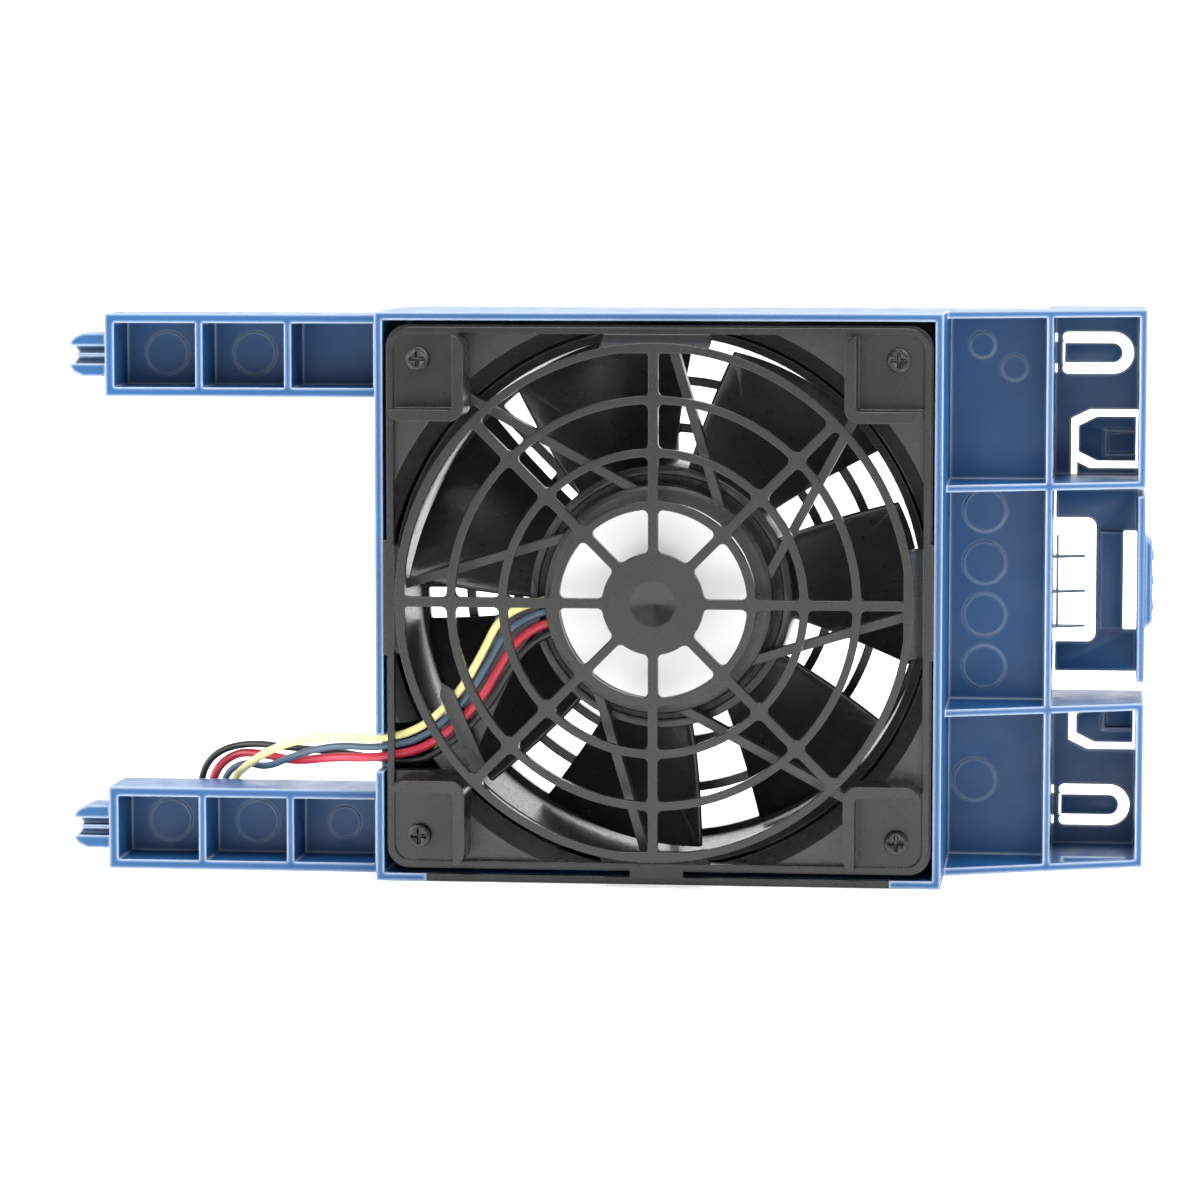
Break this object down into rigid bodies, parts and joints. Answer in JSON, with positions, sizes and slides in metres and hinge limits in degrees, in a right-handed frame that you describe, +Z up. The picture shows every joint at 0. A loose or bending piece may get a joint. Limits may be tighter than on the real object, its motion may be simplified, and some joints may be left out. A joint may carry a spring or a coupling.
{
  "type": "server fan module",
  "caption": "Axial fan with a raised wire guard in a moulded carrier with hinge pegs on two arms, a sprung release latch and a wired plug.",
  "frame": {"origin": "centre of the underside of the fan box, below the fan's axis", "axes": "+X to the latch end, -Y out of the front guard (air outlet side), +Z up"},
  "size_m": [0.2413, 0.0758, 0.1255],
  "materials": {
    "carrier_plastic": "satin moulded plastic, pale blue",
    "guard_plastic": "satin moulded plastic, black",
    "fan_plastic": "fine matte glass-filled plastic, black",
    "impeller_plastic": "satin glass-filled plastic, black",
    "label_white": "blank printed-label film, off-white",
    "steel": "ground",
    "black_steel": "blackened screw steel",
    "zinc_steel": "zinc plated sheet",
    "ferrite": "bonded ferrite, matte",
    "brass": "turned",
    "lamination": "stacked electrical steel",
    "copper": "enamelled copper wire",
    "insulator": "natural nylon",
    "board": "green solder resist",
    "chip": "moulded epoxy, black",
    "solder": "solder, bright",
    "wire_yellow": "PVC insulation, pale yellow",
    "wire_blue": "PVC insulation, slate blue",
    "wire_red": "PVC insulation, red",
    "wire_black": "PVC insulation, black",
    "plug_plastic": "natural nylon, off-white",
    "contact": "tin plated"
  },
  "bodies": {
    "carrier": {"carrier": "carrier_plastic", "front_guard": "guard_plastic", "rear_guard": "guard_plastic", "front_screws": "black_steel", "rear_screws": "black_steel", "fan_housing": "fan_plastic", "motor_label": "label_white", "front_bearing_outer_ring": "steel", "rear_bearing_outer_ring": "steel", "bearing_tube": "brass", "stator_core": "lamination", "stator_windings": "copper", "front_insulator": "insulator", "rear_insulator": "insulator", "circuit_board": "board", "board_parts": "chip", "solder_joints": "solder", "yellow_wire": "wire_yellow", "blue_wire": "wire_blue", "red_wire": "wire_red", "black_wire": "wire_black", "plug_housing": "plug_plastic", "plug_contacts": "contact"},
    "rotor": {"impeller": "impeller_plastic", "rotor_yoke": "zinc_steel", "rotor_magnet": "ferrite", "rotor_shaft": "steel", "retaining_clip": "insulator", "preload_washer": "steel", "front_bearing_inner_ring": "steel", "rear_bearing_inner_ring": "steel"},
    "release_latch": {"release_latch": "carrier_plastic"},
    "upper_spring_finger": {"upper_spring_finger": "carrier_plastic"},
    "lower_spring_finger": {"lower_spring_finger": "carrier_plastic"},
    "upper_catch_tab": {"upper_catch_tab": "carrier_plastic"},
    "lower_catch_tab": {"lower_catch_tab": "carrier_plastic"}
  },
  "joints": [
    {"name": "rotor_spin", "type": "hinge", "parent": "carrier", "child": "rotor", "pos_m": [0, 0, 0.06275], "axis": [0, -1, 0], "continuous": true},
    {"name": "release_latch", "type": "hinge", "parent": "carrier", "child": "release_latch", "pos_m": [0.0856, 0.042, 0.06275], "axis": [0, 0, -1], "range_deg": [0, 5.5], "stiffness_Nm_per_rad": 0.8},
    {"name": "upper_spring_finger", "type": "hinge", "parent": "carrier", "child": "upper_spring_finger", "pos_m": [0.0873, 0.0421, 0.11485], "axis": [0, 0, -1], "range_deg": [0, 6], "stiffness_Nm_per_rad": 0.05},
    {"name": "lower_spring_finger", "type": "hinge", "parent": "carrier", "child": "lower_spring_finger", "pos_m": [0.0873, 0.0421, 0.01065], "axis": [0, 0, -1], "range_deg": [0, 6], "stiffness_Nm_per_rad": 0.05},
    {"name": "upper_catch_tab", "type": "hinge", "parent": "carrier", "child": "upper_catch_tab", "pos_m": [0.1042, 0.0421, 0.09525], "axis": [0, 0, 1], "range_deg": [0, 5], "stiffness_Nm_per_rad": 0.08},
    {"name": "lower_catch_tab", "type": "hinge", "parent": "carrier", "child": "lower_catch_tab", "pos_m": [0.1042, 0.0421, 0.03025], "axis": [0, 0, 1], "range_deg": [0, 5], "stiffness_Nm_per_rad": 0.08}
  ]
}
